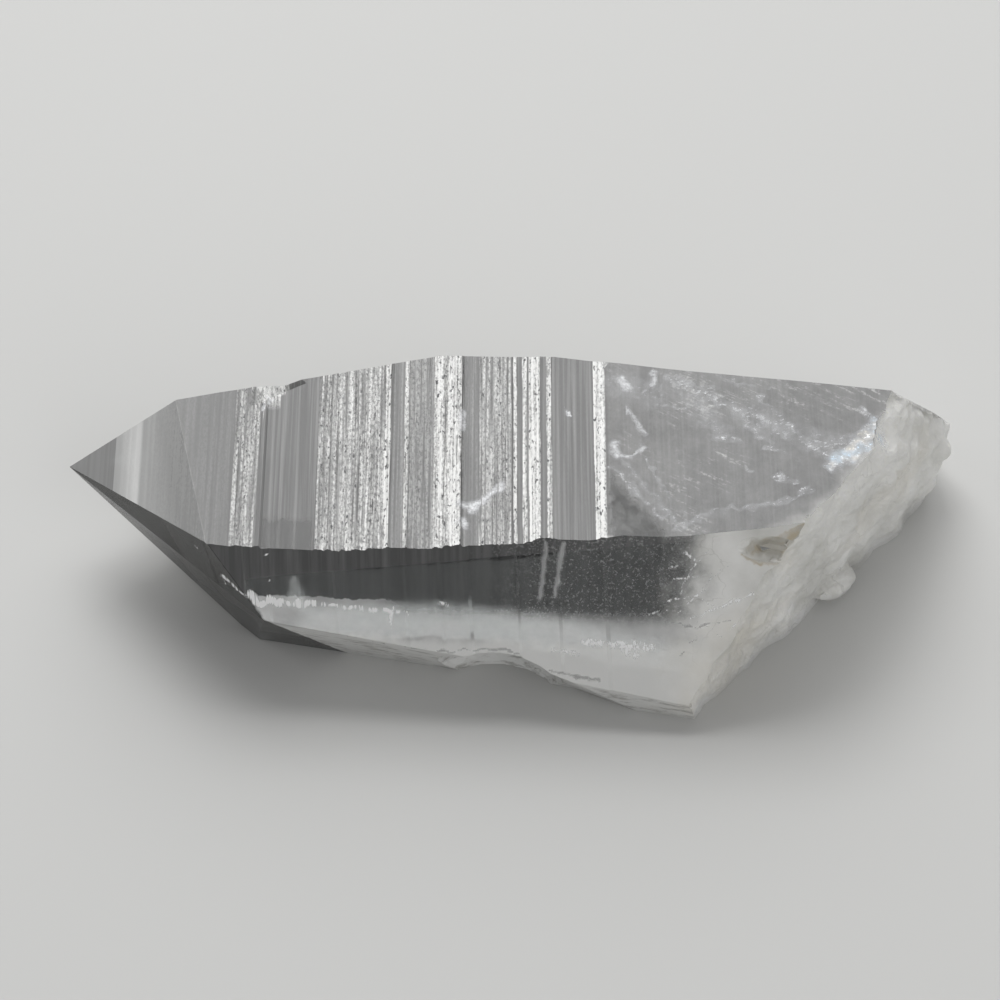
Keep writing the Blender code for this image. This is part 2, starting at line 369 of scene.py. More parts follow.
def blend(tree, share, low, high):
    """A number or colour that goes from low to high as share goes from 0 to 1."""
    colour = any(isinstance(value, tuple) or getattr(value, "type", "") == "RGBA"
                 for value in (low, high))
    made = add_node(tree, "ShaderNodeMix", data_type="RGBA" if colour else "FLOAT")
    kind = "RGBA" if colour else "VALUE"
    first, second = [socket for socket in made.inputs if socket.type == kind and socket.name in "AB"]
    for socket, value in ((made.inputs[0], share), (first, low), (second, high)):
        if isinstance(value, tuple):
            socket.default_value = (*value, 1.0)
        elif isinstance(value, (int, float)):
            socket.default_value = (value, value, value, 1.0) if socket.type == "RGBA" else value
        else:
            join(tree, value, socket)
    return next(socket for socket in made.outputs if socket.type == kind)


def invert(tree, value):
    return maths(tree, "SUBTRACT", 1.0, value)


def from_group(tree, group, name):
    return add_node(tree, "ShaderNodeGroup", node_tree=group).outputs[name]


def flat_place(tree):
    """The place along the crystal and above the ground, in millimetres."""
    place = axes(tree, plan_place(tree, (1.0, 1.0, 1.0)))
    joined = add_node(tree, "ShaderNodeCombineXYZ")
    join(tree, place["X"], joined.inputs["X"])
    join(tree, place["Z"], joined.inputs["Y"])
    return joined.outputs["Vector"]


# Colours of the milky root and of the stain in it, and the stain's corners on the front face
MILKY_DARK = (0.62, 0.615, 0.585)
MILKY_MIDDLE = (0.76, 0.755, 0.73)
MILKY_PALE = (0.88, 0.875, 0.855)
STAIN_DARK = (0.43, 0.41, 0.36)
STAIN_PALE = (0.60, 0.585, 0.54)
OCHRE = (0.46, 0.37, 0.23)
HAIR_CRACK = (0.36, 0.35, 0.32)
WARM_STAIN = (0.78, 0.71, 0.58)
STAIN_CORNERS = [(32.6, 25.2), (42.3, 30.0), (42.2, 23.7), (36.0, 23.6)]


def milky_group():
    """The mottled white of the root, with hair cracks and a faint warm stain."""
    group, _, given = new_group("milky white", [], ["Colour"], "NodeSocketColor")
    cloud = scaled_noise(group, (130.0, 130.0, 130.0), 6.0)
    colour = ramp(group, cloud, [(0.30, MILKY_DARK), (0.50, MILKY_MIDDLE), (0.72, MILKY_PALE)])
    cells = add_node(group, "ShaderNodeTexVoronoi", feature="DISTANCE_TO_EDGE")
    cells.inputs["Scale"].default_value = 0.16
    join(group, warped(group, plan_place(group, (1.0, 1.0, 1.0)), 0.3, 5.0), cells.inputs["Vector"])
    crack = ramp(group, cells.outputs["Distance"], [(0.0, 0.35), (0.02, 0.0)])
    gaps = ramp(group, scaled_noise(group, (70.0, 70.0, 70.0), 2.0), [(0.52, 0.0), (0.62, 1.0)])
    colour = blend(group, maths(group, "MULTIPLY", crack, gaps), colour, HAIR_CRACK)
    warm = ramp(group, scaled_noise(group, (45.0, 45.0, 45.0), 4.0), [(0.55, 0.0), (0.75, 0.35)])
    join(group, blend(group, warm, colour, WARM_STAIN), given["Colour"])
    return group


def stain_group():
    """Grey brown of the stained corner, with ochre specks."""
    group, _, given = new_group("iron stain", [], ["Colour"], "NodeSocketColor")
    cloud = scaled_noise(group, (260.0, 260.0, 260.0), 5.0)
    colour = ramp(group, cloud, [(0.35, STAIN_DARK), (0.65, STAIN_PALE)])
    rust = ramp(group, scaled_noise(group, (420.0, 420.0, 420.0), 5.0), [(0.54, 0.0), (0.68, 0.6)])
    join(group, blend(group, rust, colour, OCHRE), given["Colour"])
    return group


def corner_mask(tree, place, soft):
    """1 inside the stained corner at the end of the front edge."""
    whole = None
    for start, end in zip(STAIN_CORNERS, STAIN_CORNERS[1:] + STAIN_CORNERS[:1]):
        mask = side(tree, place, start, end, soft)
        whole = mask if whole is None else maths(tree, "MULTIPLY", whole, mask)
    return whole


def corner_group():
    """Where the stained corner and its ochre rim lie."""
    group, _, given = new_group("stained corner", [], ["Stain", "Rim"])
    place = flat_place(group)
    stain = corner_mask(group, warped(group, place, 0.8, 1.0), 0.9)
    rim = maths(group, "SUBTRACT", corner_mask(group, warped(group, place, 0.8, 1.6), 0.5), stain)
    join(group, stain, given["Stain"])
    join(group, maths(group, "MAXIMUM", rim, 0.0), given["Rim"])
    return group


MILKY = milky_group()
STAIN = stain_group()
CORNER = corner_group()


# Materials

QUARTZ_IOR = 1.544
QUARTZ_TINT = (0.80, 0.85, 0.83, 1.0)
QUARTZ_DENSITY = 16.0


def clear_quartz():
    """Clear crystal, by plain transmission, refraction and absorption."""
    made, tree, shader = new_material("clear quartz")
    shader.inputs["Base Color"].default_value = (1.0, 1.0, 1.0, 1.0)
    shader.inputs["IOR"].default_value = QUARTZ_IOR
    shader.inputs["Transmission Weight"].default_value = 1.0
    haze = scaled_noise(tree, (90.0, 90.0, 90.0), 3.0)
    join(tree, ramp(tree, haze, [(0.35, 0.015), (0.75, 0.09)]), shader.inputs["Roughness"])
    lines = scaled_noise(tree, (2600.0, 40.0, 60.0), 3.0)
    join(tree, bump(tree, lines, 0.12, 0.00006), shader.inputs["Normal"])
    absorb = add_node(tree, "ShaderNodeVolumeAbsorption")
    absorb.inputs["Color"].default_value = QUARTZ_TINT
    absorb.inputs["Density"].default_value = QUARTZ_DENSITY
    join(tree, absorb.outputs["Volume"], tree.nodes["Material Output"].inputs["Volume"])
    return made


def milky_quartz():
    """The broken root, white and a little translucent."""
    made, tree, shader = new_material("milky quartz")
    join(tree, from_group(tree, MILKY, "Colour"), shader.inputs["Base Color"])
    shader.inputs["Roughness"].default_value = 0.42
    shader.inputs["IOR"].default_value = QUARTZ_IOR
    shader.inputs["Subsurface Weight"].default_value = 0.35
    shader.inputs["Subsurface Radius"].default_value = (0.004, 0.004, 0.0035)
    shader.inputs["Subsurface Scale"].default_value = 1.0
    grain = scaled_noise(tree, (900.0, 900.0, 900.0), 5.0)
    join(tree, bump(tree, grain, 0.5, 0.0004), shader.inputs["Normal"])
    return made


def stained_quartz():
    """The scoop at the end of the front edge, grey brown with ochre specks."""
    made, tree, shader = new_material("iron stained quartz")
    stain = from_group(tree, CORNER, "Stain")
    colour = blend(tree, stain, from_group(tree, MILKY, "Colour"), from_group(tree, STAIN, "Colour"))
    join(tree, colour, shader.inputs["Base Color"])
    shader.inputs["Roughness"].default_value = 0.5
    shader.inputs["IOR"].default_value = QUARTZ_IOR
    grain = scaled_noise(tree, (260.0, 260.0, 260.0), 5.0)
    join(tree, bump(tree, grain, 0.4, 0.0003), shader.inputs["Normal"])
    return made


# Marks on the broad face: a route along and across the crystal, its width in millimetres, its strength
WINDOW_TOP = (15.6, 9.4)
WINDOW_LOW = (22.4, -0.4)
MILKY_EDGE = [(42.0, -2.6), (45.4, 3.3), (51.7, 7.4), (55.7, 15.1), (56.6, 22.0)]
FROST_MARKS = [
    ([(-5.4, 20.6), (-5.4, 17.3)], 0.8, 0.75), ([(-4.0, 3.0), (0.0, 6.9)], 1.1, 0.95),
    ([(-5.6, 4.0), (-3.3, 3.5)], 1.0, 0.85), ([(-5.3, 1.1), (-5.0, 0.2)], 0.9, 0.8),
    ([(6.4, 24.5), (9.7, 19.4)], 0.25, 0.7), ([(9.8, 19.4), (9.9, 19.0)], 0.6, 1.0),
    ([(17.4, 24.8), (18.1, 23.3)], 1.3, 0.85), ([(21.9, 26.1), (21.8, 23.7)], 0.8, 0.6),
    ([(16.1, 13.2), (16.4, 11.0)], 1.1, 0.85), ([(16.4, 11.2), (18.5, 10.5), (20.4, 12.4)], 0.6, 0.7),
    ([(18.2, 19.2), (20.5, 14.7)], 0.7, 0.55), ([(17.8, 20.2), (17.6, 13.3)], 0.2, 0.6),
    ([(-34.2, 21.8), (-33.2, 25.6)], 0.22, 0.9), ([(-34.1, 21.8), (-32.2, 25.9)], 0.22, 0.9),
    ([(-34.0, 21.9), (-31.0, 26.2)], 0.25, 1.0), ([(-33.9, 25.6), (-31.0, 26.4)], 0.3, 0.9),
]
# Veil marks: healed cracks and white veils, strewn by the material with painted glints
VEIL_MARKS = [
    ([(21.6, 20.7), (24.4, 19.6), (26.7, 19.1)], 0.35, 0.55),
    ([(24.6, 25.0), (29.1, 21.4), (32.0, 19.6), (35.9, 17.3), (38.3, 14.8), (40.7, 12.3)], 1.1, 0.75),
    ([(26.6, 24.6), (30.5, 22.6), (33.0, 17.4)], 0.5, 0.5),
    ([(31.0, 24.9), (35.0, 22.6), (38.4, 21.8)], 0.5, 0.45),
    ([(34.5, 16.9), (37.1, 12.2), (39.5, 10.1)], 0.9, 0.7), ([(30.4, 14.2), (33.4, 12.6)], 1.0, 0.6),
    ([(38.2, 5.7), (41.0, 4.4)], 0.9, 0.8), ([(41.6, 2.6), (43.0, 2.9)], 0.8, 0.75),
    ([(34.2, 7.7), (35.3, 6.9)], 0.6, 0.6), ([(43.7, 10.2), (44.7, 9.4)], 1.3, 0.9),
    ([(47.2, 8.2), (48.5, 7.0)], 0.9, 1.0), ([(51.6, 16.6), (52.2, 15.5)], 0.9, 0.95),
    ([(24.0, -2.2), (29.0, 0.4), (36.0, 0.8), (41.0, 1.8)], 0.8, 0.45),
    ([(15.6, 9.4), (22.4, -0.4)], 0.7, 0.7), ([(17.0, 10.2), (24.4, -0.8)], 0.9, 0.45),
    ([(24.7, 25.7), (28.5, 23.4), (33.4, 18.7)], 0.5, 0.7), ([(36.9, 20.2), (41.2, 14.3)], 0.6, 0.7),
    ([(38.4, 13.2), (40.4, 16.3)], 0.5, 0.8), ([(40.2, 14.8), (41.4, 13.6)], 0.6, 0.9),
    ([(30.8, 14.2), (31.6, 13.0)], 0.5, 0.9), ([(38.0, 6.2), (40.0, 5.4)], 0.5, 0.9),
    ([(43.0, 10.7), (46.4, 8.6)], 0.7, 0.95), ([(50.2, 16.8), (51.6, 15.2)], 0.6, 0.95),
    ([(19.7, 13.0), (21.7, 7.5), (26.3, -1.6)], 0.4, 0.5),
    ([(16.5, 24.5), (22.0, 22.0)], 4.0, 0.32), ([(25.5, 24.0), (31.0, 14.5)], 2.6, 0.34),
    ([(35.0, 17.5), (42.0, 12.5)], 3.2, 0.36), ([(43.0, 12.0), (49.0, 10.0)], 3.0, 0.5),
]
# Painted reflection: the rainbow marks are an iridescent glint patch
RAINBOW_MARKS = [([(46.6, 7.4), (50.2, 10.6), (53.2, 13.6)], 2.2, 1.0),
                 ([(49.5, 8.4), (53.0, 11.4)], 1.7, 0.9)]

# Painted sheen: how pale the broad face is painted towards the tip, from 65 mm left of the plan's zero (0)
# to 15 mm left (1)
SHEEN_SCALE, SHEEN_START = 0.02, 1.3
TIP_SHEEN = [(0.0, 0.08), (0.195, 0.08), (0.20, 0.06), (0.27, 0.24), (0.38, 0.12), (0.44, 0.10),
             (0.54, 0.06), (0.56, 0.0)]
POINT_EDGE = ((-46.5, 24.1), (-40.8, -2.1))

# The glassy patch low in the smooth zone: its left, right and top edges
PATCH_LEFT = ((-33.4, 0.0), (-33.4, 30.0))
PATCH_RIGHT = ((-26.1, 30.0), (-26.1, 0.0))
PATCH_TOP = ((-40.0, 3.4), (-20.0, 3.0))

# How thick the film on the broad face is, from 0 to 1, and its colours; the grey where the face is smooth is
# a painted sheen
CLEAR_FILM, WHITE_FILM = 0.64, 0.95
MILKY_FILM = 0.97
PAINTED_SHEEN_GREY = (0.245, 0.245, 0.243)
HAZE_AND_SHEEN_GREY = (0.435, 0.435, 0.43)
WHITE_LINES = (0.92, 0.92, 0.905)
PIT = (0.10, 0.10, 0.105)
MILK_SHADE = (0.30, 0.30, 0.285)


def growth_frost_and_sheen():
    """A thin frost on the broad face: white growth lines, haze, a clear window and the milky end, over a
    grey painted sheen.
    """
    made, tree, shader = new_material("growth frost and painted sheen")
    frost = attribute(tree, "frost")
    plan = plan_place(tree, (1.0, 1.0, 0.0))
    grit = ramp(tree, scaled_noise(tree, (3600.0, 1500.0, 1500.0), 3.0, 0.75), [(0.40, 0.0), (0.58, 1.0)])
    pits = ramp(tree, scaled_noise(tree, (2600.0, 1100.0, 1100.0), 2.0, 0.6), [(0.60, 0.0), (0.66, 1.0)])
    streak = ramp(tree, scaled_noise(tree, (2300.0, 24.0, 24.0), 3.0, 0.6), [(0.40, 0.0), (0.66, 1.0)])
    tip = maths(tree, "MULTIPLY", side(tree, plan, (-55.3, 0.0), (-55.3, 30.0), 0.15),
                side(tree, plan, (-51.0, 30.0), (-51.0, 0.0), 0.9))
    past_point = side(tree, plan, (-38.5, 0.0), (-38.5, 30.0), 3.0)
    faint = maths(tree, "MULTIPLY", streak, blend(tree, past_point, 0.04, 0.13))
    least = ramp(tree, frost, [(0.55, 0.30), (0.92, 0.80)])
    lines = maths(tree, "MULTIPLY", frost, blend(tree, grit, least, 1.0))
    sheen = maths(tree, "MULTIPLY_ADD", axes(tree, plan)["X"], SHEEN_SCALE, SHEEN_START)
    sheen = ramp(tree, sheen, TIP_SHEEN)
    # Painted shade: the sheen is weaker on the broad face's side of the point's edge, so that the crease
    # between the two faces doesn't show
    point = side(tree, plan, *POINT_EDGE, 0.1)
    sheen = maths(tree, "MULTIPLY", sheen, blend(tree, point, 0.35, 1.0))
    lines = maths(tree, "ADD", lines, maths(tree, "MULTIPLY_ADD", tip, 0.17, sheen))
    ragged = warped(tree, plan, 0.7, 2.6)
    right = side(tree, ragged, (15.4, -20.0), (14.4, 40.0), 1.0)
    lines = maths(tree, "ADD", lines, maths(tree, "MULTIPLY", faint, blend(tree, right, 1.0, 0.25)))
    cut = maths(tree, "MULTIPLY", side(tree, ragged, WINDOW_LOW, WINDOW_TOP, -2.4), right)
    mottle = scaled_noise(tree, (620.0, 420.0, 420.0), 6.0, 0.7)
    cut = maths(tree, "MULTIPLY", cut, ramp(tree, mottle, [(0.38, 0.92), (0.62, 0.45)]))
    milk = None
    far = warped(tree, plan, 0.22, 4.5)
    for start, end in zip(MILKY_EDGE, MILKY_EDGE[1:]):
        mask = side(tree, far, start, end, 4.0)
        milk = mask if milk is None else maths(tree, "MAXIMUM", milk, mask)
    haze = ramp(tree, scaled_noise(tree, (260.0, 200.0, 200.0), 8.0, 0.75), [(0.34, 0.0), (0.66, 0.10)])
    strand = ramp(tree, slanted_noise(tree, -34.0, (0.20, 1.5, 1.0), 8.0), [(0.50, 0.0), (0.72, 0.50)])
    veiled = ramp(tree, scaled_noise(tree, (75.0, 75.0, 75.0), 3.0), [(0.44, 0.0), (0.60, 1.0)])
    speck = ramp(tree, scaled_noise(tree, (1700.0, 1700.0, 1700.0), 2.0, 0.7), [(0.46, 0.15), (0.62, 1.0)])
    haze = maths(tree, "ADD", haze, maths(tree, "MULTIPLY", strand, maths(tree, "MULTIPLY", veiled, speck)))
    white = maths(tree, "ADD", lines, maths(tree, "MULTIPLY", haze, right))
    # The colour runs from the painted sheen grey of the smooth face through haze to the white of the frosted
    # lines
    colour = ramp(tree, white, [(0.0, PAINTED_SHEEN_GREY), (0.25, HAZE_AND_SHEEN_GREY), (0.75, WHITE_LINES)])
    pitted = maths(tree, "MULTIPLY", pits, ramp(tree, frost, [(0.15, 0.0), (0.4, 0.95)]))
    colour = blend(tree, pitted, colour, PIT)
    milky = blend(tree, 0.15, from_group(tree, MILKY, "Colour"), MILK_SHADE)
    join(tree, blend(tree, milk, colour, milky), shader.inputs["Base Color"])
    film = ramp(tree, white, [(0.0, CLEAR_FILM), (0.5, WHITE_FILM)])
    film = maths(tree, "MULTIPLY", film, invert(tree, maths(tree, "MULTIPLY", cut, 0.80)))
    glassy = maths(tree, "MULTIPLY", side(tree, plan, *PATCH_LEFT, 0.4), side(tree, plan, *PATCH_RIGHT, 0.4))
    glassy = maths(tree, "MULTIPLY", glassy, side(tree, ragged, *PATCH_TOP, 1.6))
    film = maths(tree, "MULTIPLY", film, invert(tree, maths(tree, "MULTIPLY", glassy, 0.28)))
    film = maths(tree, "MAXIMUM", film, maths(tree, "MULTIPLY", milk, MILKY_FILM))
    join(tree, film, shader.inputs["Alpha"])
    join(tree, ramp(tree, white, [(0.0, 0.16), (0.35, 0.42)]), shader.inputs["Roughness"])
    relief = maths(tree, "ADD", maths(tree, "MULTIPLY", grit, frost), faint)
    join(tree, bump(tree, relief, 0.45, 0.00012), shader.inputs["Normal"])
    return made


def bruises_veils_and_glints():
    """White bruises and healed cracks in the broad face, with painted glints and a painted rainbow
    reflection on them.
    """
    made, tree, shader = new_material("bruises, veils and painted glints")
    fluff = ramp(tree, scaled_noise(tree, (1900.0, 1900.0, 1900.0), 4.0, 0.7), [(0.35, 0.45), (0.60, 1.0)])
    cloudy = ramp(tree, scaled_noise(tree, (420.0, 420.0, 420.0), 5.0, 0.7), [(0.42, 0.10), (0.66, 0.66)])
    # Painted glints: fine bright specks; where they are missing, the veils are cloudy
    glitter = ramp(tree, scaled_noise(tree, (1400.0, 2200.0, 1800.0), 3.0, 0.8), [(0.55, 0.0), (0.62, 1.0)])
    glitter = maths(tree, "MAXIMUM", glitter, cloudy)
    bruise = maths(tree, "MULTIPLY", attribute(tree, "bruise"), fluff)
    veil = maths(tree, "MULTIPLY", attribute(tree, "veil"), glitter)
    rainbow = maths(tree, "MULTIPLY", attribute(tree, "rainbow"), blend(tree, glitter, 0.40, 1.0))
    # Painted reflection: rainbow colours over the glint patch
    tint = ramp(tree, scaled_noise(tree, (500.0, 500.0, 500.0), 2.0),
                [(0.40, (0.70, 0.86, 1.0)), (0.55, (0.98, 0.99, 1.0)), (0.68, (1.0, 0.93, 0.78))])
    join(tree, blend(tree, rainbow, (0.90, 0.91, 0.93), tint), shader.inputs["Base Color"])
    film = maths(tree, "MAXIMUM", maths(tree, "MAXIMUM", bruise, veil), rainbow)
    join(tree, film, shader.inputs["Alpha"])
    shader.inputs["Roughness"].default_value = 0.3
    join(tree, bump(tree, fluff, 0.5, 0.0002), shader.inputs["Normal"])
    return made


# Marks on the front face: a route along the crystal and above the ground, its width, its strength
# The fringe runs along the top of the lower veils, which are partly a painted internal reflection; the white
# marks are partly painted glints and partly fine white cracks
FRINGE_MARKS = [([(-38.6, 18.2), (-33.0, 16.7), (-25.0, 16.5)], 0.9, 1.0),
                ([(-25.0, 16.5), (-13.0, 15.9)], 0.6, 0.8)]
STREAK_MARKS = [([(6.4, 25.8), (5.6, 18.4)], 0.6, 0.32), ([(8.8, 25.9), (7.7, 18.9)], 0.6, 0.34)]
FRONT_MARKS = [
    ([(-32.7, 22.9), (-32.2, 23.0)], 0.35, 0.9), ([(-32.4, 19.4), (-32.1, 19.4)], 0.3, 0.8),
    ([(-8.4, 17.3), (-7.4, 17.1)], 0.5, 0.6), ([(-12.6, 17.9), (-12.3, 17.9)], 0.3, 0.6),
    ([(-15.2, 16.6), (-15.3, 13.7)], 0.45, 0.75), ([(11.8, 12.7), (21.3, 12.5)], 1.0, 0.8),
    ([(7.3, 11.5), (10.9, 11.3)], 0.8, 0.6), ([(17.5, 11.9), (19.2, 11.1)], 0.9, 0.8),
    ([(-39.2, 17.7), (-38.5, 16.4)], 0.4, 0.9), ([(-43.5, 22.0), (-41.5, 19.6)], 0.3, 0.6),
    ([(25.0, 19.8), (26.4, 22.8), (28.8, 25.6)], 0.32, 0.6),
    ([(26.2, 16.1), (29.6, 17.6), (35.4, 20.0)], 0.4, 0.6),
    ([(25.6, 25.2), (27.4, 24.0)], 0.6, 0.7), ([(22.8, 18.6), (27.0, 19.4), (30.2, 17.9)], 0.32, 0.6),
    ([(24.0, 21.6), (29.4, 22.4)], 0.32, 0.5), ([(28.0, 20.6), (31.6, 23.8)], 0.32, 0.5),
    ([(20.6, 16.9), (24.2, 17.7)], 0.32, 0.5), ([(27.6, 16.0), (31.0, 14.2), (33.4, 16.2)], 0.32, 0.5),
    ([(23.4, 22.9), (25.8, 23.6)], 0.32, 0.5), ([(24.6, 17.2), (28.6, 20.4)], 0.32, 0.5),
]
CRACK_MARKS = [
    ([(-21.1, 12.2), (-17.8, 10.9), (-13.8, 10.7), (-7.2, 10.9), (1.1, 11.3), (3.2, 10.0), (7.3, 8.5),
      (13.9, 7.7)], 0.4, 0.8),
    ([(21.9, 16.8), (24.6, 15.7), (27.4, 15.2)], 0.3, 0.8),
    ([(27.4, 15.2), (28.9, 15.8), (32.6, 16.4)], 0.3, 0.7),
    ([(27.4, 14.2), (25.5, 11.5)], 0.3, 0.6),
]

# Lines on the front face, along the crystal and above the ground
LEFT_EDGE = ((-33.2, 14.1), (-40.8, 24.2))
DARK_TOP = ((12.5, 25.0), (-35.6, 19.5))
DARK_LEFT = ((-35.5, 30.0), (-35.5, 10.0))
VEIL_TOP_SHARP = ((-46.0, 17.7), (30.0, 17.4))
VEIL_TOP_SOFT = ((-46.0, 17.4), (30.0, 17.6))
MILK_TOP = ((-40.0, 13.8), (30.0, 13.2))
FIBRE_TOP = ((-34.0, 12.6), (28.0, 5.0))
ROOT_EDGE = ((18.0, 0.0), (23.0, 30.0))

# How thick the film on the front is, from 0 to 1, and its colours; the near black colours are painted shade
# for the dark window and the point's lower facet
GLASS_FILM = 0.62
UPPER_FILM = 0.88
VEIL_THIN, VEIL_THICK = 0.60, 0.82
MILK_FILM = 0.93
ROOT_FILM = 0.95
PAINTED_SHADE_GLASS = (0.030, 0.030, 0.030)
PAINTED_SHADE_UPPER = (0.098, 0.098, 0.098)
PAINTED_SHADE_POINT = (0.058, 0.057, 0.054)
DUST = (0.60, 0.60, 0.60)
# The veil colours below are partly milky veils and partly a painted internal reflection
VEIL_AND_REFLECTION_DARK = (0.50, 0.50, 0.50)
VEIL_AND_REFLECTION_PALE = (0.66, 0.66, 0.655)
MILK = (0.74, 0.74, 0.725)
FIBRE = (0.25, 0.24, 0.22)


def front_bloom_and_shade():
    """A thin film of veils and dust on the front: near black above as painted shade for the dark window,
    pale below, where its veils are partly a painted internal reflection, and milky to the right.
    """
    made, tree, shader = new_material("front bloom and painted shade")
    plan = flat_place(tree)
    ragged = warped(tree, plan, 0.9, 0.9)
    past_edge = side(tree, ragged, *LEFT_EDGE, 0.6)
    front = side(tree, plan, *LEFT_EDGE, 0.1)
    sharp = side(tree, ragged, *VEIL_TOP_SHARP, 0.25)
    gentle = side(tree, ragged, *VEIL_TOP_SOFT, 3.0)
    below = blend(tree, side(tree, plan, (-20.0, 0.0), (-20.0, 30.0), 8.0), sharp, gentle)
    below = maths(tree, "MULTIPLY", below, past_edge)
    deep = side(tree, warped(tree, plan, 0.35, 3.0), *MILK_TOP, 1.8)
    # Painted shade: the upper part of the dark window gets a thicker, greyer film, so that it comes out the
    # same dark tone as the rest
    upper = side(tree, plan, *DARK_TOP, 0.25)
    upper = maths(tree, "MAXIMUM", upper, side(tree, plan, *DARK_LEFT, 0.15))
    upper = maths(tree, "MULTIPLY", upper, front)
    fibre = ramp(tree, scaled_noise(tree, (170.0, 1200.0, 1200.0), 5.0, 0.7), [(0.50, 0.0), (0.64, 0.75)])
    fibre = maths(tree, "MULTIPLY", fibre, side(tree, ragged, *FIBRE_TOP, 1.2))
    end = side(tree, warped(tree, plan, 0.25, 9.0), *ROOT_EDGE, 9.0)
    cloud = ramp(tree, scaled_noise(tree, (120.0, 120.0, 160.0), 6.0), [(0.32, 0.0), (0.66, 1.0)])
    dust = ramp(tree, scaled_noise(tree, (2600.0, 2600.0, 2600.0), 2.0, 0.8), [(0.53, 0.0), (0.64, 0.42)])
    dusty = side(tree, plan, (-12.0, 0.0), (-6.0, 30.0), 16.0)
    fine = ramp(tree, scaled_noise(tree, (1300.0, 30.0, 50.0), 3.0), [(0.40, 0.0), (0.70, 0.10)])
    stain = from_group(tree, CORNER, "Stain")
    film = blend(tree, below, blend(tree, upper, GLASS_FILM, UPPER_FILM),
                 blend(tree, cloud, VEIL_THIN, VEIL_THICK))
    film = blend(tree, maths(tree, "MULTIPLY", deep, below), film, MILK_FILM)
    film = blend(tree, end, film, ROOT_FILM)
    film = maths(tree, "MAXIMUM", film, stain)
    join(tree, film, shader.inputs["Alpha"])
    # Painted shade: near black colours for the dark window, with dust specks and fine streaks in it, and a
    # painted shade of their own on the point's lower facet
    clear = blend(tree, maths(tree, "MAXIMUM", fine, maths(tree, "MULTIPLY", dust, dusty)),
                  blend(tree, upper, PAINTED_SHADE_GLASS, PAINTED_SHADE_UPPER), DUST)
    clear = blend(tree, front, PAINTED_SHADE_POINT, clear)
    # Below the dark window the film is partly milky veils and partly a painted internal reflection
    colour = blend(tree, below, clear, blend(tree, cloud, VEIL_AND_REFLECTION_DARK, VEIL_AND_REFLECTION_PALE))
    colour = blend(tree, maths(tree, "MULTIPLY", deep, past_edge), colour, MILK)
    colour = blend(tree, end, colour, from_group(tree, MILKY, "Colour"))
    colour = blend(tree, maths(tree, "MULTIPLY", fibre, past_edge), colour, FIBRE)
    colour = blend(tree, from_group(tree, CORNER, "Rim"), colour, OCHRE)
    colour = blend(tree, stain, colour, from_group(tree, STAIN, "Colour"))
    join(tree, colour, shader.inputs["Base Color"])
    join(tree, blend(tree, maths(tree, "MAXIMUM", below, end), 0.12, 0.4), shader.inputs["Roughness"])
    join(tree, bump(tree, cloud, 0.2, 0.0002), shader.inputs["Normal"])
    return made


# White of the painted glints, the fringe, the streaks and the fine white cracks
GLINT_AND_MARK_WHITE = (0.97, 0.97, 0.97)
CRACK = (0.20, 0.20, 0.19)


def front_marks():
    """Painted glints, white cracks, pale streaks and dark cracks on the front face, and a pale fringe on the
    lower veils.
    """
    made, tree, shader = new_material("front marks")
    crack = attribute(tree, "crack")
    fluff = ramp(tree, scaled_noise(tree, (1900.0, 1900.0, 1900.0), 4.0, 0.7), [(0.35, 0.40), (0.60, 1.0)])
    comb = ramp(tree, scaled_noise(tree, (1900.0, 60.0, 160.0), 3.0, 0.7), [(0.42, 0.25), (0.58, 1.0)])
    dash = scaled_noise(tree, (2400.0, 1000.0, 1000.0), 3.0, 0.7)
    dash = ramp(tree, dash, [(0.44, 0.28), (0.58, 1.0)])
    white = maths(tree, "MAXIMUM", maths(tree, "MULTIPLY", attribute(tree, "white"), dash),
                  maths(tree, "MULTIPLY", attribute(tree, "fringe"), comb))
    white = ramp(tree, white, [(0.16, 0.0), (0.48, 0.92)])
    white = maths(tree, "MAXIMUM", white, attribute(tree, "streak"))
    colour = blend(tree, crack, GLINT_AND_MARK_WHITE, CRACK)
    join(tree, colour, shader.inputs["Base Color"])
    dark = maths(tree, "MULTIPLY", crack, fluff)
    join(tree, maths(tree, "MAXIMUM", white, dark), shader.inputs["Alpha"])
    shader.inputs["Roughness"].default_value = 0.35
    return made


# The film on the rear faces: the heights between which it thins out, how thick it is below and above
# them and on its lines, and its colours below and above
THIN_FROM, THIN_TO = 19.0, 21.0
REAR_LOW, REAR_HIGH, REAR_LINE = 0.93, 0.62, 0.78
# Painted shade: the grey colours of the thick low film darken what the broad face shows through the glass
LOW_SHADE_DARK, LOW_SHADE_PALE, LOW_LINE = (0.40, 0.40, 0.395), (0.46, 0.46, 0.455), (0.62, 0.62, 0.61)
HIGH_DARK, HIGH_PALE, HIGH_LINE = (0.55, 0.55, 0.54), (0.62, 0.62, 0.61), (0.76, 0.76, 0.75)


